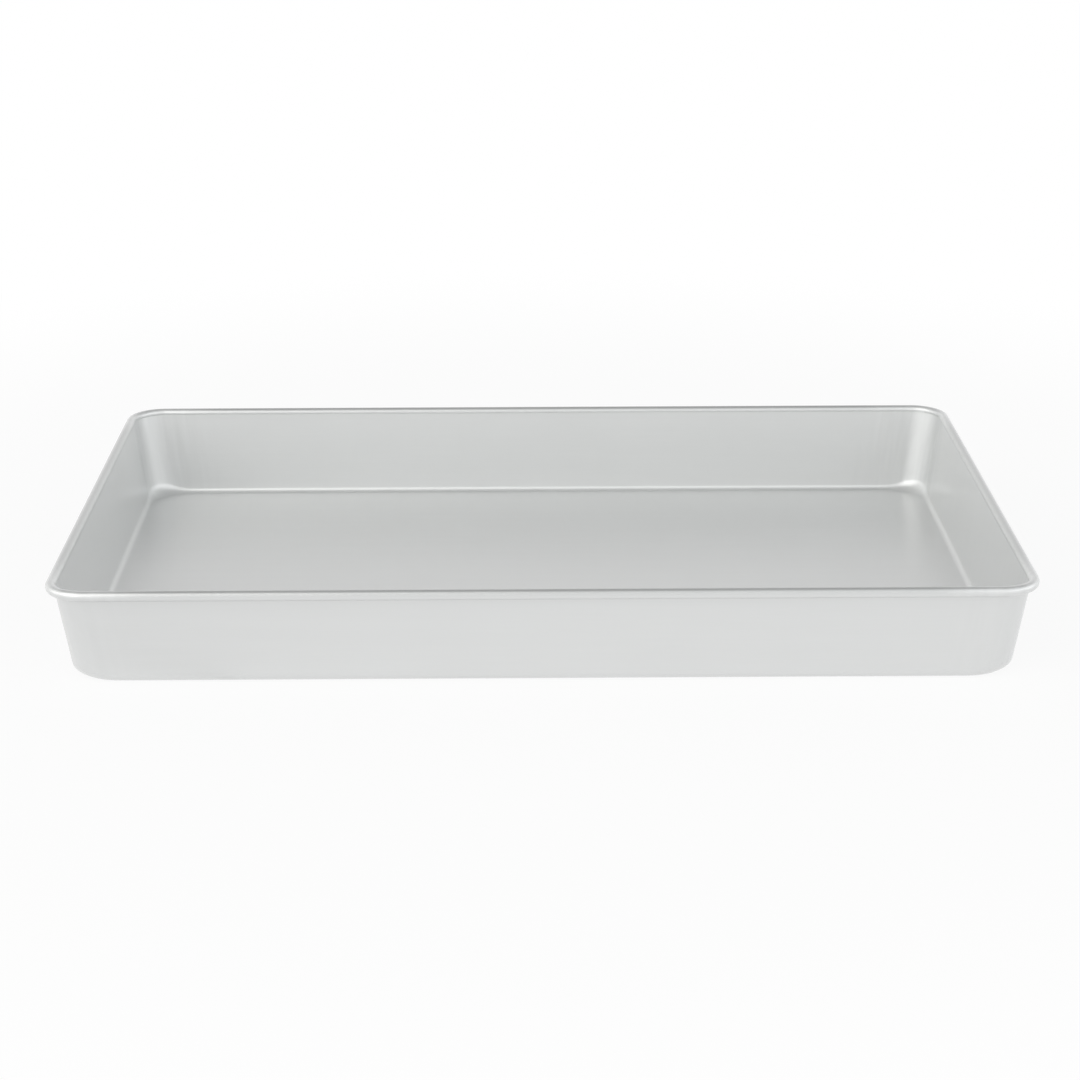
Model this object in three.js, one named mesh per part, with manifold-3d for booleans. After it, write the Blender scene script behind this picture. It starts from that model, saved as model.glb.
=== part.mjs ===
// Rectangular cake pan: one drawn aluminium sheet whose rim is rolled outwards over a steel wire.
// Millimetres, +Z up. +X runs along the pan's length and +Y across it, and the origin is the
// middle of the flat face that the pan stands on.
import * as THREE from "three";
import { mergeVertices } from "three/addons/utils/BufferGeometryUtils.js";
import Module from "manifold-3d";

// Driving dimensions
const MOUTH_LENGTH = 457; // between the rolled rims, along X
const MOUTH_WIDTH = 304.5; // between the rolled rims, along Y
const PAN_HEIGHT = 48.5; // from the table to the top of the rim
const SHEET = 1; // thickness of the sheet
const WALL_LEAN = THREE.MathUtils.degToRad(8); // the walls lean outwards from the upright
const CORNER_RADIUS = 15; // inside radius of the upright corners, the same at every height
const FLOOR_RADIUS = 4.5; // inside radius where the walls turn into the floor
const BEAD_DIAMETER = 5; // outside diameter of the rolled rim
const CURL_SWEEP = THREE.MathUtils.degToRad(294); // how far round the sheet is rolled
const WIRE_DIAMETER = 2.4; // rim wire, loose in the roll
const WIRE_END_GAP = 1; // between the wire's two ends, at the middle of the back

// Facets
const CORNER_STEPS = 6;
const FLOOR_STEPS = 4;
const CURL_STEPS = 14;
const WIRE_SIDES = 10;

// The section is drawn in a plane square to the rim: x is the distance outwards from the mouth,
// and y the height.
const BEAD_RADIUS = BEAD_DIAMETER / 2;
const beadCentre = new THREE.Vector2(BEAD_RADIUS, PAN_HEIGHT - BEAD_RADIUS);
const curlStart = Math.PI - WALL_LEAN;
const curlEnd = curlStart - CURL_SWEEP;

// The inner face of the wall is a straight line that meets the bead without a kink.
const wallTop = new THREE.Vector2(Math.cos(curlStart), Math.sin(curlStart))
  .multiplyScalar(BEAD_RADIUS)
  .add(beadCentre);

function innerWallAt(height) {
  return wallTop.x - (wallTop.y - height) * Math.tan(WALL_LEAN);
}

const floorCentreHeight = SHEET + FLOOR_RADIUS;
const floorCentre = new THREE.Vector2(
  innerWallAt(floorCentreHeight) - FLOOR_RADIUS / Math.cos(WALL_LEAN),
  floorCentreHeight,
);

// Points along an arc of the section, angles counted from the outward direction.
function sectionArc(centre, radius, from, to, steps) {
  return new THREE.ArcCurve(centre.x, centre.y, radius, from, to, from > to).getPoints(steps);
}

// A station of the section, with the corner radius that its ring round the pan has. The corners
// keep their radius down the leaning walls, and grow with the distance outwards round the bead.
function wallStation(point) {
  return { point, corner: CORNER_RADIUS + point.x - innerWallAt(point.y) };
}

function rimStation(point) {
  return { point, corner: CORNER_RADIUS + point.x };
}

// One ring round the pan, anticlockwise from above, at a station of the section.
function ringAt({ point, corner }) {
  const straightX = MOUTH_LENGTH / 2 + point.x - corner;
  const straightY = MOUTH_WIDTH / 2 + point.x - corner;
  const quarters = [
    [straightX, straightY],
    [-straightX, straightY],
    [-straightX, -straightY],
    [straightX, -straightY],
  ];
  return quarters.flatMap(([x, y], quarter) => {
    const start = (quarter * Math.PI) / 2;
    const arc = new THREE.ArcCurve(x, y, corner, start, start + Math.PI / 2);
    return arc.getPoints(CORNER_STEPS).map((p) => new THREE.Vector3(p.x, p.y, point.y));
  });
}

// A closed surface through rings of equal point counts. An open run of rings is closed by a flat
// face at each end, and a looped one joins its last ring to its first.
function loft(rings, looped) {
  const count = rings[0].length;
  const triangles = [];
  const bands = looped ? rings.length : rings.length - 1;
  for (let band = 0; band < bands; band++) {
    const low = band * count;
    const high = ((band + 1) % rings.length) * count;
    for (let i = 0; i < count; i++) {
      const next = (i + 1) % count;
      triangles.push(low + i, low + next, high + next, low + i, high + next, high + i);
    }
  }
  if (!looped) {
    const last = (rings.length - 1) * count;
    const outline = rings[0].map((p) => new THREE.Vector2(p.x, p.y));
    for (const [a, b, c] of THREE.ShapeUtils.triangulateShape(outline, [])) {
      triangles.push(a, c, b);
      triangles.push(last + a, last + b, last + c);
    }
  }
  const geometry = new THREE.BufferGeometry().setFromPoints(rings.flat());
  geometry.setIndex(triangles);
  geometry.computeVertexNormals();
  return geometry;
}

// The sheet's section runs from the face on the table, up the outside, into the roll, back over
// the bead, and down the inside to the floor.
function panGeometry() {
  const underside = sectionArc(
    floorCentre, FLOOR_RADIUS + SHEET, -Math.PI / 2, -WALL_LEAN, FLOOR_STEPS);
  const insideRoll = sectionArc(beadCentre, BEAD_RADIUS - SHEET, curlStart, curlEnd, CURL_STEPS);
  const outsideRoll = sectionArc(beadCentre, BEAD_RADIUS, curlEnd, curlStart, CURL_STEPS);
  const floorTurn = sectionArc(floorCentre, FLOOR_RADIUS, -WALL_LEAN, -Math.PI / 2, FLOOR_STEPS);
  const stations = [
    ...underside.map(wallStation),
    ...insideRoll.map(rimStation),
    ...outsideRoll.map(rimStation),
    ...floorTurn.map(wallStation),
  ];
  return loft(stations.map(ringAt), false);
}

// Booleans
const wasm = await Module();
wasm.setup();

function solidOf(geometry) {
  const bare = geometry.clone();
  bare.deleteAttribute("normal");
  bare.deleteAttribute("uv");
  const merged = mergeVertices(bare);
  const vertProperties = merged.getAttribute("position").array;
  const triVerts = new Uint32Array(merged.index.array);
  return new wasm.Manifold(new wasm.Mesh({ numProp: 3, vertProperties, triVerts }));
}

function geometryOf(solid) {
  const { vertProperties, triVerts } = solid.getMesh();
  const geometry = new THREE.BufferGeometry();
  geometry.setAttribute("position", new THREE.BufferAttribute(vertProperties, 3));
  geometry.setIndex(new THREE.BufferAttribute(triVerts, 1));
  geometry.computeVertexNormals();
  return geometry;
}

// One length of wire bent to the rim's shape, with its ends butted at the middle of the back.
function wireGeometry() {
  const section = sectionArc(beadCentre, WIRE_DIAMETER / 2, 0, 2 * Math.PI, WIRE_SIDES);
  const rings = section.slice(0, WIRE_SIDES).map(rimStation).map(ringAt);
  const endGap = new THREE.BoxGeometry(WIRE_END_GAP, BEAD_DIAMETER, BEAD_DIAMETER);
  endGap.translate(0, MOUTH_WIDTH / 2 + beadCentre.x, beadCentre.y);
  return geometryOf(solidOf(loft(rings, true)).subtract(solidOf(endGap)));
}

const satinAluminium = new THREE.MeshStandardMaterial({
  color: 0xd3d6d5,
  roughness: 0.42,
  metalness: 1,
});

const drawnSteel = new THREE.MeshStandardMaterial({
  color: 0x9b9da0,
  roughness: 0.4,
  metalness: 1,
});

function piece(name, geometry, material) {
  const mesh = new THREE.Mesh(geometry, material);
  mesh.name = name;
  return mesh;
}

const cakePan = new THREE.Group();
cakePan.add(piece("pan_body", panGeometry(), satinAluminium));
cakePan.add(piece("rim_wire", wireGeometry(), drawnSteel));

export default cakePan;
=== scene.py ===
"""The looks of a rectangular cake pan: one drawn aluminium sheet, its rim rolled over a steel wire."""
import math

import bpy
from mathutils import Matrix, Vector


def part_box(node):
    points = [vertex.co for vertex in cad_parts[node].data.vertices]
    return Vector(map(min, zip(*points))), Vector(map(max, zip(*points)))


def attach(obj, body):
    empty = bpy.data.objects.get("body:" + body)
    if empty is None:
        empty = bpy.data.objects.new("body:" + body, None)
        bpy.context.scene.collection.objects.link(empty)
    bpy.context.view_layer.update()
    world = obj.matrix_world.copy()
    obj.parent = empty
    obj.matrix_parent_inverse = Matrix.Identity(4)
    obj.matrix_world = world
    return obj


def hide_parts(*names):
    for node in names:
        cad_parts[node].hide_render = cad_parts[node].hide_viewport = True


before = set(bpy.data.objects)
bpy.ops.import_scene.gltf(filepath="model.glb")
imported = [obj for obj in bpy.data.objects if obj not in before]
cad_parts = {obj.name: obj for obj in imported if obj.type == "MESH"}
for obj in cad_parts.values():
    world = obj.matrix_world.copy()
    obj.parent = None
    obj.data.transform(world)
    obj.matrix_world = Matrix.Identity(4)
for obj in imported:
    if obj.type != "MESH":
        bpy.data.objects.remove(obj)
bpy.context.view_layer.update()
pan_low, pan_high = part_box("pan_body")
wire_low, wire_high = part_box("rim_wire")

# The pan's sizes, in metres and radians
BEAD = 0.005
SHEET = 0.001
WALL_LEAN = math.radians(8)
CORNER_RADIUS = 0.015
FLOOR_RADIUS = 0.003
CORNER_FLOOR_RADIUS = 0.0075
CORNER_FOOT_SHARE = 0.35
CORNER_FOOT_REACH = 0.008
BEAD_CREASE = math.radians(21)
CURL_SWEEP = math.radians(294)
WIRE = 0.0024
WIRE_END_GAP = 0.001
MOUTH_LENGTH = pan_high.x - pan_low.x - 2 * BEAD
MOUTH_WIDTH = pan_high.y - pan_low.y - 2 * BEAD
PAN_HEIGHT = pan_high.z - pan_low.z

# Marks of the drawing and the rolling, and the painted shade on the bead
DRAW_RIPPLE = 0.00006
DRAW_RIPPLE_WIDTH = 0.005
BEAD_PUCKER = 0.00008
BEAD_PUCKER_WIDTH = 0.009
CORNER_FADE = 0.036
OUTSIDE_MARKS = 0.3
MARK_STRETCH = 0.05
BEAD_POLISH_START = 0.125
# How much darker the bead's straight runs are painted: painted shade that takes down their highlight
BEAD_PAINTED_SHADE = 0.42

# Shares of the roll where the bead's painted shade is full, where it is last full, and where it ends
PAINTED_SHADE_EDGES = (0.2, 0.54, 0.65)

# Steps of the mesh
CORNER_STEPS = 28
SIDE_STEPS = 56
FLOOR_STEPS = 14
TURN_STEPS = 14
WALL_STEPS = 26
ROLL_STEPS = 34
LIP_STEPS = 4
WIRE_SIDES = 16
WELD = 0.000005

# The finishes: colours, roughness, and how often each pattern repeats in a metre
SHEET_GREY = (0.431, 0.439, 0.435)
SHEET_BRIGHT = (0.779, 0.787, 0.785)
SHEET_ROUGHNESS = 0.6
COAT_IOR = 2.2
COAT_ROUGHNESS = 0.25
FINE_GRAIN = (25.0, 1400.0, 1.0)
BROAD_GRAIN = (6.0, 160.0, 1.0)
DRAW_LINES = (260.0, 260.0, 22.0)
CLOUDS = 14.0
SPECKS = 900.0
WIRE_DARK = (0.40, 0.41, 0.42)
WIRE_LIGHT = (0.52, 0.53, 0.54)
WIRE_ROUGHNESS = 0.42
WIRE_SCRATCHES = 2600.0
WIRE_BLOOM = 160.0
WIRE_SHARP_EDGE = math.radians(40)
RELIEF = 0.00001

# Camera, as fitted to the photograph
CAMERA_PLACE = Vector((-0.01122, -1.30437, 0.46143))
CAMERA_YAW = math.radians(0.484)
CAMERA_PITCH = math.radians(18.691)
CAMERA_ROLL = math.radians(-0.14)
CAMERA_LENS = 87.85
CAMERA_SENSOR = 36.0


class Amount:
    """A number in a node tree, and the sums that nodes do with it."""

    def __init__(self, bench, socket):
        self.bench = bench
        self.socket = socket

    def __add__(self, other):
        return self.bench.sum("ADD", self, other)

    def __radd__(self, other):
        return self.bench.sum("ADD", other, self)

    def __sub__(self, other):
        return self.bench.sum("SUBTRACT", self, other)

    def __rsub__(self, other):
        return self.bench.sum("SUBTRACT", other, self)

    def __mul__(self, other):
        return self.bench.sum("MULTIPLY", self, other)

    def __rmul__(self, other):
        return self.bench.sum("MULTIPLY", other, self)

    def __truediv__(self, other):
        return self.bench.sum("DIVIDE", self, other)

    def __gt__(self, other):
        return self.bench.sum("GREATER_THAN", self, other)

    def sine(self):
        return self.bench.sum("SINE", self)

    def cosine(self):
        return self.bench.sum("COSINE", self)

    def tangent(self):
        return self.bench.sum("TANGENT", self)

    def sign(self):
        return self.bench.sum("SIGN", self)

    def floored(self):
        return self.bench.sum("FLOOR", self)

    def rounded(self):
        return self.bench.sum("ROUND", self)

    def least(self, other):
        return self.bench.sum("MINIMUM", self, other)

    def most(self, other):
        return self.bench.sum("MAXIMUM", self, other)

    def share(self):
        """Held between 0 and 1."""
        return self.most(0.0).least(1.0)

    def eased(self):
        """A share from 0 to 1 that starts and stops gently."""
        held = self.share()
        return held * held * (3.0 - 2.0 * held)

    def towards(self, other, share):
        """This number, moved to another by a share of the way."""
        return self + (other - self) * share


class Bench:
    """Adds nodes to one node tree."""

    def __init__(self, tree):
        self.tree = tree

    def node(self, kind, **settings):
        made = self.tree.nodes.new(kind)
        row, column = divmod(len(self.tree.nodes), 16)
        made.location = (column * 190, row * -190)
        for name, value in settings.items():
            setattr(made, name, value)
        return made

    def feed(self, socket, value):
        """Joins a value to a socket, or sets it there."""
        if isinstance(value, Amount):
            self.tree.links.new(value.socket, socket)
        elif isinstance(value, bpy.types.NodeSocket):
            self.tree.links.new(value, socket)
        else:
            socket.default_value = value

    def put(self, kind, inputs, **settings):
        """A node with the named inputs fed."""
        made = self.node(kind, **settings)
        for name, value in inputs.items():
            self.feed(made.inputs[name], value)
        return made

    def sum(self, operation, *values):
        made = self.node("ShaderNodeMath", operation=operation)
        for socket, value in zip(made.inputs, values):
            self.feed(socket, value)
        return Amount(self, made.outputs[0])

    def amount(self, made, output):
        return Amount(self, made.outputs[output])

    def vector(self, x, y, z):
        return self.put("ShaderNodeCombineXYZ", {"X": x, "Y": y, "Z": z}).outputs["Vector"]

    def parts(self, vector):
        made = self.put("ShaderNodeSeparateXYZ", {"Vector": vector})
        return [self.amount(made, axis) for axis in "XYZ"]

    def noise(self, vector, scale, detail=2.0):
        """Soft noise about 0, from -1 to 1 at most."""
        made = self.put("ShaderNodeTexNoise", {"Vector": vector, "Scale": scale, "Detail": detail})
        return self.amount(made, 0) * 2.0 - 1.0

    def sizes(self, named):
        """Named inputs of a shape's tree, as amounts by name."""
        for name in named:
            self.tree.interface.new_socket(name, in_out="INPUT", socket_type="NodeSocketFloat")
        self.tree.interface.new_socket("Geometry", in_out="OUTPUT", socket_type="NodeSocketGeometry")
        source = self.node("NodeGroupInput")
        return {name: self.amount(source, name) for name in named}

    def keep(self, geometry, name, value, kind):
        """Stores a value on the points, where the finish reads it."""
        inputs = {"Geometry": geometry, "Name": name, "Value": value}
        stored = self.put("GeometryNodeStoreNamedAttribute", inputs, data_type=kind, domain="POINT")
        return stored.outputs["Geometry"]

    def hand_over(self, geometry, finish):
        """The end of a shape's tree: a plain mesh with its finish."""
        whole = self.put("GeometryNodeRealizeInstances", {"Geometry": geometry})
        coated = self.put("GeometryNodeSetMaterial", {"Geometry": whole.outputs[0], "Material": finish})
        self.feed(self.node("NodeGroupOutput").inputs["Geometry"], coated.outputs[0])


# The ring round the pan: four quarters, each a corner arc and the side after it
QUARTER_STEPS = CORNER_STEPS + SIDE_STEPS
RING_STEPS = 4 * QUARTER_STEPS


class Ring:
    """Where a column of the mesh lies on its way round the pan, anticlockwise from the right."""

    def __init__(self, size, column):
        self.size = size
        quarter = (column / QUARTER_STEPS).floored()
        step = column - quarter * QUARTER_STEPS
        turned = (step / CORNER_STEPS).least(1.0)
        self.in_corner = (turned * math.pi).sine()
        gone = (step - CORNER_STEPS).most(0.0) / SIDE_STEPS
        self.along = (1.0 - (gone * math.pi).cosine()) * 0.5
        self.heading = (quarter + turned) * (math.pi / 2)
        here = (quarter + 0.5) * (math.pi / 2)
        after = (quarter + 1.5) * (math.pi / 2)
        self.side_x = here.cosine().sign().towards(after.cosine().sign(), self.along)
        self.side_y = here.sine().sign().towards(after.sine().sign(), self.along)
        self.lengthwise = here.sine().sign() * here.cosine().sign()

    def place(self, outward, corner, bulge=0.0):
        """The point whose ring lies a distance outwards from the mouth, with its corner radius."""
        straight_x = self.size["Mouth length"] * 0.5 + outward - corner
        straight_y = self.size["Mouth width"] * 0.5 + outward - corner
        radius = corner + bulge
        x = self.side_x * straight_x + radius * self.heading.cosine()
        y = self.side_y * straight_y + radius * self.heading.sine()
        return x, y

    def from_corner(self):
        """Distance along a side from the nearest corner arc, and 0 on the arcs."""
        short_side = self.size["Mouth width"] - self.size["Corner radius"] * 2.0
        long_side = self.size["Mouth length"] - self.size["Corner radius"] * 2.0
        side = short_side.towards(long_side, self.lengthwise.share())
        return self.along.least(1.0 - self.along) * side

    def nearness_to_corner(self):
        """1 on the corner arcs, fading to 0 along the sides."""
        return 1.0 - (self.from_corner() / CORNER_FADE).eased()

    def foot_share(self):
        """How much of the corner's softer foot is reached: all at the middle of an arc."""
        left = 1.0 - (self.from_corner() / CORNER_FOOT_REACH).share()
        return CORNER_FOOT_SHARE * left * left + (1.0 - CORNER_FOOT_SHARE) * self.in_corner


class Section:
    """The sheet's section square to the rim, as distances outwards from the mouth and heights."""

    def __init__(self, size):
        self.size = size
        self.lean = size["Wall lean"]
        self.sheet = size["Sheet"]
        self.bead_radius = size["Bead"] * 0.5
        self.bead_up = size["Height"] - self.bead_radius
        self.roll_start = math.pi - self.lean + size["Bead crease"]
        self.roll_stop = math.pi - self.lean - size["Curl sweep"]
        self.wall_top_out, self.wall_top_up = self.round_bead(self.bead_radius, self.roll_start)
        self.turn_up = self.sheet + size["Floor radius"]
        self.turn_out = self.inner_wall(self.turn_up) - size["Floor radius"] / self.lean.cosine()
        self.floor_corner = self.wall_corner(self.turn_out, self.sheet)
        self.turn_length = (size["Floor radius"] + self.sheet * 0.5) * (math.pi / 2 - self.lean)
        wall_foot_up = self.turn_up - size["Floor radius"] * self.lean.sine()
        self.wall_length = (self.wall_top_up - wall_foot_up) / self.lean.cosine()
        self.roll_length = (self.bead_radius - self.sheet * 0.5) * (self.roll_start - self.roll_stop)

    def round_bead(self, radius, angle):
        return self.bead_radius + radius * angle.cosine(), self.bead_up + radius * angle.sine()

    def round_turn(self, radius, angle):
        return self.turn_out + radius * angle.cosine(), self.turn_up + radius * angle.sine()

    def inner_wall(self, height):
        return self.wall_top_out - (self.wall_top_up - height) * self.lean.tangent()

    def wall_corner(self, outward, height):
        """Corner radius on the walls, which is the same from the floor to the rim."""
        return self.size["Corner radius"] + outward - self.inner_wall(height)

    def rim_corner(self, outward):
        return self.size["Corner radius"] + outward

    def flat(self, height, spread):
        """A ring of the floor or the underside: spread is 0 along the middle and 1 at the turn."""
        half_width = self.size["Mouth width"] * 0.5
        outward = (self.turn_out + half_width) * spread - half_width
        return outward, height, self.wall_corner(self.turn_out, height) * spread, 0.0, 0.0

    def turn(self, radius, share):
        """The turn from the flat to the wall, as share goes from 0 to 1."""
        angle = share * (math.pi / 2 - self.lean) - math.pi / 2
        outward, height = self.round_turn(radius, angle)
        reach = self.turn_length * share
        return outward, height, self.wall_corner(outward, height), reach, (share * math.pi).sine()

    def wall(self, turn_radius, bead_radius, share):
        """The wall from the turn up to the bead."""
        foot_out, foot_up = self.round_turn(turn_radius, 0.0 - self.lean)
        top_out, top_up = self.round_bead(bead_radius, self.roll_start)
        outward = foot_out.towards(top_out, share)
        height = foot_up.towards(top_up, share)
        reach = self.turn_length + self.wall_length * share
        return outward, height, self.wall_corner(outward, height), reach, 0.0

    def roll(self, radius, share):
        """The roll from the wall's top round to the lip."""
        angle = self.roll_start.towards(self.roll_stop, share)
        outward, height = self.round_bead(radius, angle)
        reach = self.turn_length + self.wall_length + self.roll_length * share
        return outward, height, self.rim_corner(outward), reach, (share / BEAD_POLISH_START).least(1.0)

    def lip(self, share):
        """The rounded edge of the sheet at the end of the roll."""
        half = self.sheet * 0.5
        middle_out, middle_up = self.round_bead(self.bead_radius - half, self.roll_stop)
        swing = share * math.pi
        inwards = half * swing.cosine()
        past = half * swing.sine()
        facing_out = self.roll_stop.cosine()
        facing_up = self.roll_stop.sine()
        outward = middle_out - inwards * facing_out + past * facing_up
        height = middle_up - inwards * facing_up - past * facing_out
        reach = self.turn_length + self.wall_length + self.roll_length
        return outward, height, self.rim_corner(outward), reach, 1.0

    def runs(self):
        """The runs of the section in order, each with its number of steps."""
        inner = self.size["Floor radius"]
        outer = inner + self.sheet
        bead = self.bead_radius
        ground = self.sheet * 0.0
        return [
            (FLOOR_STEPS, lambda s: self.flat(ground, 1.0 - (1.0 - s) * (1.0 - s))),
            (TURN_STEPS, lambda s: self.turn(outer, s)),
            (WALL_STEPS, lambda s: self.wall(outer, bead - self.sheet, 1.0 - (1.0 - s) * (1.0 - s))),
            (ROLL_STEPS, lambda s: self.roll(bead - self.sheet, s)),
            (LIP_STEPS, self.lip),
            (ROLL_STEPS, lambda s: self.roll(bead, 1.0 - s)),
            (WALL_STEPS, lambda s: self.wall(inner, bead, 1.0 - s * s)),
            (TURN_STEPS, lambda s: self.turn(inner, 1.0 - s)),
            (FLOOR_STEPS, lambda s: self.flat(self.sheet, 1.0 - s * s)),
        ]

    def at(self, station):
        """Outward, height, corner radius, reach along the sheet and polish at a station."""
        found = None
        first = 0
        for steps, shape in self.runs():
            values = shape(((station - first) / steps).share())
            if found is None:
                found = values
            else:
                past = station > first + 0.5
                found = [past * (new - old) + old for old, new in zip(found, values)]
            first += steps
        return found


SECTION_STEPS = 2 * (FLOOR_STEPS + TURN_STEPS + WALL_STEPS + ROLL_STEPS) + LIP_STEPS
PAN_SIZES = {
    "Mouth length": MOUTH_LENGTH,
    "Mouth width": MOUTH_WIDTH,
    "Height": PAN_HEIGHT,
    "Sheet": SHEET,
    "Wall lean": WALL_LEAN,
    "Corner radius": CORNER_RADIUS,
    "Floor radius": FLOOR_RADIUS,
    "Corner floor radius": CORNER_FLOOR_RADIUS,
    "Bead": BEAD,
    "Bead crease": BEAD_CREASE,
    "Curl sweep": CURL_SWEEP,
    "Draw ripple": DRAW_RIPPLE,
    "Bead pucker": BEAD_PUCKER,
}


def drawn_pan_tree(finish):
    """A grid of stations along the section and columns round the pan, laid on the drawn shape."""
    bench = Bench(bpy.data.node_groups.new("drawn pan", "GeometryNodeTree"))
    size = bench.sizes(PAN_SIZES)
    grid = bench.put("GeometryNodeMeshGrid", {
        "Size X": float(SECTION_STEPS),
        "Size Y": float(RING_STEPS),
        "Vertices X": SECTION_STEPS + 1,
        "Vertices Y": RING_STEPS + 1,
    })
    grid_x, grid_y, _ = bench.parts(bench.node("GeometryNodeInputPosition").outputs[0])
    station = (grid_x + SECTION_STEPS / 2).rounded()
    column = (grid_y + RING_STEPS / 2).rounded()
    ring = Ring(size, column)
    floor_radius = size["Floor radius"].towards(size["Corner floor radius"], ring.foot_share())
    section = Section({**size, "Floor radius": floor_radius})
    outward, height, corner, reach, polish = section.at(station)

    # The rim's own outline, so that marks of the drawing run straight down the walls
    rim_x, rim_y = ring.place(0.0, size["Corner radius"])
    drawn_along = bench.vector(rim_x, rim_y, reach)
    side_share = OUTSIDE_MARKS + (1.0 - OUTSIDE_MARKS) * (station > SECTION_STEPS / 2)
    nearness = ring.nearness_to_corner() * (reach / section.turn_length).share() * side_share
    on_wall = ((reach - section.turn_length) / section.wall_length).share()
    on_roll = ((reach - section.turn_length - section.wall_length) / section.roll_length).share()
    # Painted shade on the bead: darker over its top on the straight runs, fading out down its inner
    # side, by the middle of its outer side and towards the corners
    painted_shade_full, painted_shade_last_full, painted_shade_end = PAINTED_SHADE_EDGES
    outer_ease = ((painted_shade_end - on_roll) / (painted_shade_end - painted_shade_last_full)).share()
    rolled = (on_roll / painted_shade_full).share() * outer_ease * (1.0 - ring.nearness_to_corner())
    rim_point = bench.vector(rim_x, rim_y, reach * MARK_STRETCH)
    ripple = bench.noise(rim_point, 1.0 / DRAW_RIPPLE_WIDTH) * size["Draw ripple"]
    pucker = bench.noise(rim_point, 1.0 / BEAD_PUCKER_WIDTH) * size["Bead pucker"]
    wall_swell = (on_wall * math.pi).sine() * ripple
    roll_swell = (on_roll * math.pi).sine() * pucker
    x, y = ring.place(outward, corner, (wall_swell + roll_swell) * nearness)

    # Where each point lay on the flat sheet before it was drawn, for the rolling grain
    flat_x, flat_y = ring.place(
        outward.least(section.turn_out) + reach,
        corner.least(section.floor_corner) + reach,
    )
    shell = bench.keep(grid.outputs["Mesh"], "blank", bench.vector(flat_x, flat_y, 0.0), "FLOAT_VECTOR")
    shell = bench.keep(shell, "drawn", drawn_along, "FLOAT_VECTOR")
    shell = bench.keep(shell, "corner", nearness, "FLOAT")
    shell = bench.keep(shell, "polish", polish, "FLOAT")
    shell = bench.keep(shell, "rolled", rolled, "FLOAT")
    shaped = bench.put("GeometryNodeSetPosition", {
        "Geometry": shell,
        "Position": bench.vector(x, y, height),
    })
    welded = bench.put("GeometryNodeMergeByDistance", {"Geometry": shaped.outputs[0], "Distance": WELD})
    smooth = bench.put("GeometryNodeSetShadeSmooth", {"Geometry": welded.outputs[0]})
    bench.hand_over(smooth.outputs[0], finish)
    return bench.tree


WIRE_SIZES = {
    "Mouth length": MOUTH_LENGTH,
    "Mouth width": MOUTH_WIDTH,
    "Corner radius": CORNER_RADIUS,
    "Bead": BEAD,
    "Wire height": (wire_low.z + wire_high.z) / 2,
    "Wire": WIRE,
    "End gap": WIRE_END_GAP,
}


def rim_wire_tree(finish):
    """A round wire along the middle of the bead, its ends butted at the middle of the back."""
    bench = Bench(bpy.data.node_groups.new("rim wire", "GeometryNodeTree"))
    size = bench.sizes(WIRE_SIZES)
    line = bench.put("GeometryNodeCurvePrimitiveLine", {})
    path = bench.put("GeometryNodeResampleCurve", {"Curve": line.outputs[0], "Count": RING_STEPS + 1})
    count = bench.amount(bench.node("GeometryNodeInputIndex"), 0)
    back_middle = CORNER_STEPS + SIDE_STEPS / 2
    ring = Ring(size, count + back_middle)
    outward = size["Bead"] * 0.5
    x, y = ring.place(outward, size["Corner radius"] + outward)
    bent = bench.put("GeometryNodeSetPosition", {
        "Geometry": path.outputs[0],
        "Position": bench.vector(x, y, size["Wire height"]),
    })
    whole = bench.put("GeometryNodeCurveLength", {"Curve": bent.outputs[0]})
    length = bench.amount(whole, 0)
    cut = bench.node("GeometryNodeTrimCurve", mode="LENGTH")
    bench.feed(cut.inputs["Curve"], bent.outputs[0])
    starts = [socket for socket in cut.inputs if socket.name == "Start"]
    ends = [socket for socket in cut.inputs if socket.name == "End"]
    bench.feed(starts[-1], size["End gap"] * 0.5)
    bench.feed(ends[-1], length - size["End gap"] * 0.5)
    round_section = bench.put("GeometryNodeCurvePrimitiveCircle", {
        "Resolution": WIRE_SIDES,
        "Radius": size["Wire"] * 0.5,
    })
    rod = bench.put("GeometryNodeCurveToMesh", {
        "Curve": cut.outputs[0],
        "Profile Curve": round_section.outputs[0],
        "Fill Caps": True,
    })
    bench.hand_over(rod.outputs[0], finish)
    return bench.tree


def piece_from_tree(name, tree, sizes):
    """Runs a shape's tree with its sizes and keeps the result as a plain mesh."""
    piece = bpy.data.objects.new(name, bpy.data.meshes.new(name + "_seed"))
    bpy.context.scene.collection.objects.link(piece)
    modifier = piece.modifiers.new("shape", "NODES")
    modifier.node_group = tree
    for item in tree.interface.items_tree:
        if item.in_out == "INPUT":
            modifier[item.identifier] = sizes[item.name]
    depsgraph = bpy.context.evaluated_depsgraph_get()
    made = bpy.data.meshes.new_from_object(
        piece.evaluated_get(depsgraph), preserve_all_data_layers=True, depsgraph=depsgraph)
    piece.modifiers.remove(modifier)
    piece.data = made
    made.name = name
    return piece


def new_finish(name):
    """A finish with an empty node tree, and its bench and shader."""
    finish = bpy.data.materials.new(name)
    finish.use_nodes = True
    finish.node_tree.nodes.clear()
    bench = Bench(finish.node_tree)
    shader = bench.node("ShaderNodeBsdfPrincipled")
    output = bench.node("ShaderNodeOutputMaterial")
    bench.feed(output.inputs["Surface"], shader.outputs["BSDF"])
    return finish, bench, shader


def scaled(bench, vector, scale):
    made = bench.put("ShaderNodeMapping", {"Vector": vector, "Scale": scale})
    return made.outputs["Vector"]


def tinted(bench, dark, light, share):
    """A colour between two, by a share."""
    made = bench.put("ShaderNodeMix", {}, data_type="RGBA")
    bench.feed(made.inputs["Factor"], share)
    bench.feed(made.inputs[6], (*dark, 1.0))
    bench.feed(made.inputs[7], (*light, 1.0))
    return made.outputs[2]


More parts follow.
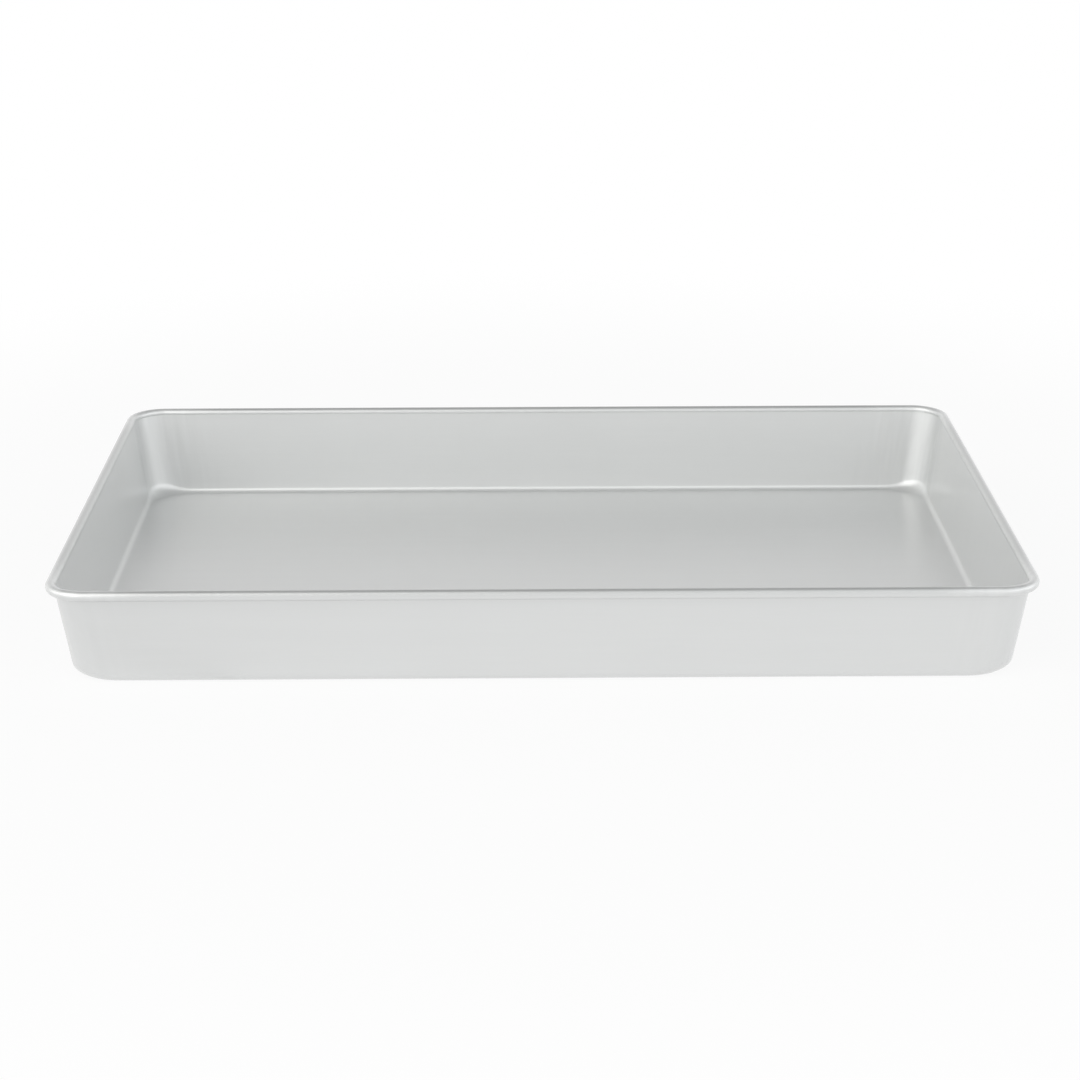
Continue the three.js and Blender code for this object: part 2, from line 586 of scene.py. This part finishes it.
def satin_aluminium():
    """Anodised sheet: rolling grain along the length, draw marks at the corners, polished turns, and
    painted shade on the bead's top.
    """
    finish, bench, shader = new_finish("satin aluminium")
    blank = bench.node("ShaderNodeAttribute", attribute_name="blank").outputs["Vector"]
    drawn = bench.node("ShaderNodeAttribute", attribute_name="drawn").outputs["Vector"]
    corner = bench.amount(bench.node("ShaderNodeAttribute", attribute_name="corner"), "Fac")
    polish = bench.amount(bench.node("ShaderNodeAttribute", attribute_name="polish"), "Fac")
    rolled = bench.amount(bench.node("ShaderNodeAttribute", attribute_name="rolled"), "Fac")
    place = bench.node("ShaderNodeTexCoord").outputs["Object"]

    grain = bench.noise(scaled(bench, blank, FINE_GRAIN), 1.0, 3.0)
    broad_grain = bench.noise(scaled(bench, blank, BROAD_GRAIN), 1.0, 2.0)
    clouds = bench.noise(place, CLOUDS, 3.0)
    specks = bench.noise(place, SPECKS, 1.0)
    draw_lines = bench.noise(scaled(bench, drawn, DRAW_LINES), 1.0, 2.0) * corner

    tone = (0.5 + clouds * 0.08 + grain * 0.1 + broad_grain * 0.06 + draw_lines * 0.36).share()
    # Painted shade: the bead's top is coloured greyer on the straight runs to take down its highlight,
    # while the corners keep the plain tone
    shade = 0.5 + tone * 0.5 - rolled * BEAD_PAINTED_SHADE
    colour = tinted(bench, SHEET_GREY, SHEET_BRIGHT, shade)
    bench.feed(shader.inputs["Base Color"], colour)
    unevenness = clouds * 0.03 + grain * 0.03 + broad_grain * 0.02 + draw_lines * 0.05
    bench.feed(shader.inputs["Roughness"], SHEET_ROUGHNESS + unevenness - polish * 0.05)
    height = grain * 0.5 + broad_grain * 0.4 + specks * 0.25 + draw_lines * 1.2
    bump = bench.put("ShaderNodeBump", {"Height": height, "Distance": RELIEF, "Strength": 1.0})
    bench.feed(shader.inputs["Normal"], bump.outputs["Normal"])
    shader.inputs["Metallic"].default_value = 1.0
    shader.inputs["Coat Weight"].default_value = 1.0
    shader.inputs["Coat IOR"].default_value = COAT_IOR
    shader.inputs["Coat Roughness"].default_value = COAT_ROUGHNESS
    return finish


def drawn_steel_wire():
    """Zinc coated wire with the long scratches of the drawing die."""
    finish, bench, shader = new_finish("drawn steel wire")
    place = bench.node("ShaderNodeTexCoord").outputs["Object"]
    scratches = bench.noise(place, WIRE_SCRATCHES, 2.0)
    bloom = bench.noise(place, WIRE_BLOOM, 3.0)
    tone = (0.5 + bloom * 0.5 + scratches * 0.2).share()
    bench.feed(shader.inputs["Base Color"], tinted(bench, WIRE_DARK, WIRE_LIGHT, tone))
    bench.feed(shader.inputs["Roughness"], WIRE_ROUGHNESS + bloom * 0.12 + scratches * 0.05)
    bump = bench.put("ShaderNodeBump", {"Height": scratches, "Distance": RELIEF, "Strength": 0.6})
    bench.feed(shader.inputs["Normal"], bump.outputs["Normal"])
    shader.inputs["Metallic"].default_value = 1.0
    return finish


# The studio
LAMP_AIM = Vector((0.0, 0.0, 0.02))
WARM_WHITE = (1.0, 1.0, 0.97)
COOL_WHITE = (0.95, 0.99, 1.0)
FRONT_LAMP = 2.6
SIDE_LAMP = 1.2
FLOOR_SIZE = 30.0
FLOOR_DROP = 0.00005
FLOOR_COLOUR = (0.8, 0.8, 0.8, 1.0)
SHADOW_REACH = (0.35, 0.75)
NEAR_WHITE = 0.88
WALL_FADE = (0.42, 0.75)
CEILING = 0.41


def seen_white(bench):
    """1 for the rays that show the background: seen, mirrored or through glass."""
    path = bench.node("ShaderNodeLightPath")
    seen = bench.amount(path, "Is Camera Ray")
    mirrored = bench.amount(path, "Is Glossy Ray")
    through = bench.amount(path, "Is Transmission Ray")
    return seen.most(mirrored).most(through)


def pale_floor():
    """A wide floor that keeps the pan's shadow and runs out to plain white."""
    finish, bench, shader = new_finish("pale floor")
    shader.inputs["Base Color"].default_value = FLOOR_COLOUR
    shader.inputs["Roughness"].default_value = 1.0
    shader.inputs["Specular IOR Level"].default_value = 0.0
    x, y, _ = bench.parts(bench.node("ShaderNodeTexCoord").outputs["Object"])
    near, far = SHADOW_REACH
    distance = bench.sum("SQRT", x * x + y * y)
    outside = ((distance - near) / (far - near)).eased()
    white = bench.put("ShaderNodeEmission", {"Strength": 1.0})
    mixed = bench.put("ShaderNodeMixShader", {})
    bench.feed(mixed.inputs[0], (NEAR_WHITE + outside * (1.0 - NEAR_WHITE)) * seen_white(bench))
    bench.feed(mixed.inputs[1], shader.outputs["BSDF"])
    bench.feed(mixed.inputs[2], white.outputs[0])
    output = next(n for n in bench.tree.nodes if n.type == "OUTPUT_MATERIAL")
    bench.feed(output.inputs["Surface"], mixed.outputs[0])
    half = FLOOR_SIZE / 2
    corners = [(-half, -half), (half, -half), (half, half), (-half, half)]
    mesh = bpy.data.meshes.new("studio_floor")
    mesh.from_pydata([(x, y, -FLOOR_DROP) for x, y in corners], [], [(0, 1, 2, 3)])
    mesh.materials.append(finish)
    floor = bpy.data.objects.new("studio_floor", mesh)
    bpy.context.scene.collection.objects.link(floor)


def white_room():
    """White walls all round, under a dimmer ceiling."""
    world = bpy.data.worlds.new("white room")
    world.use_nodes = True
    world.node_tree.nodes.clear()
    bench = Bench(world.node_tree)
    _, _, up = bench.parts(bench.node("ShaderNodeTexCoord").outputs["Generated"])
    wall_top, ceiling_edge = WALL_FADE
    overhead = ((up - wall_top) / (ceiling_edge - wall_top)).eased()
    strength = 1.0 - overhead * (1.0 - CEILING)
    sky = bench.put("ShaderNodeBackground", {"Color": (1.0, 1.0, 1.0, 1.0), "Strength": strength})
    output = bench.node("ShaderNodeOutputWorld")
    bench.feed(output.inputs["Surface"], sky.outputs[0])
    bpy.context.scene.world = world


def softbox(name, place, size, watts, colour):
    """A square lamp that shines on the pan and isn't seen itself."""
    lamp = bpy.data.lights.new(name, "AREA")
    lamp.color = colour
    lamp.shape = "SQUARE"
    lamp.size = size
    lamp.energy = watts
    box = bpy.data.objects.new(name, lamp)
    box.location = place
    box.rotation_euler = (LAMP_AIM - Vector(place)).to_track_quat("-Z", "Y").to_euler()
    box.visible_camera = False
    bpy.context.scene.collection.objects.link(box)


def studio_lamps():
    softbox("front_left_lamp", (-1.41, -1.41, 1.67), FRONT_LAMP, 28.8, WARM_WHITE)
    softbox("front_right_lamp", (1.41, -1.41, 1.67), FRONT_LAMP, 13.3, COOL_WHITE)
    softbox("left_lamp", (-2.06, 0.0, 0.63), SIDE_LAMP, 2.6, WARM_WHITE)
    softbox("right_lamp", (2.06, 0.0, 0.63), SIDE_LAMP, 2.8, COOL_WHITE)


def photo_camera():
    lens = bpy.data.cameras.new("photo_camera")
    lens.sensor_width = CAMERA_SENSOR
    lens.lens = CAMERA_LENS
    camera = bpy.data.objects.new("photo_camera", lens)
    turn = Matrix.Rotation(-CAMERA_YAW, 4, "Z")
    tilt = Matrix.Rotation(math.pi / 2 - CAMERA_PITCH, 4, "X")
    roll = Matrix.Rotation(CAMERA_ROLL, 4, "Z")
    camera.matrix_world = Matrix.Translation(CAMERA_PLACE) @ turn @ tilt @ roll
    bpy.context.scene.collection.objects.link(camera)
    bpy.context.scene.camera = camera


photo_camera()
bpy.context.scene.view_settings.view_transform = "Standard"
white_room()
pale_floor()
studio_lamps()

pan = piece_from_tree("pan", drawn_pan_tree(satin_aluminium()), PAN_SIZES)
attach(pan, "root")
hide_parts("pan_body")

wire = piece_from_tree("wire", rim_wire_tree(drawn_steel_wire()), WIRE_SIZES)
wire.data.set_sharp_from_angle(angle=WIRE_SHARP_EDGE)
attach(wire, "root")
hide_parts("rim_wire")
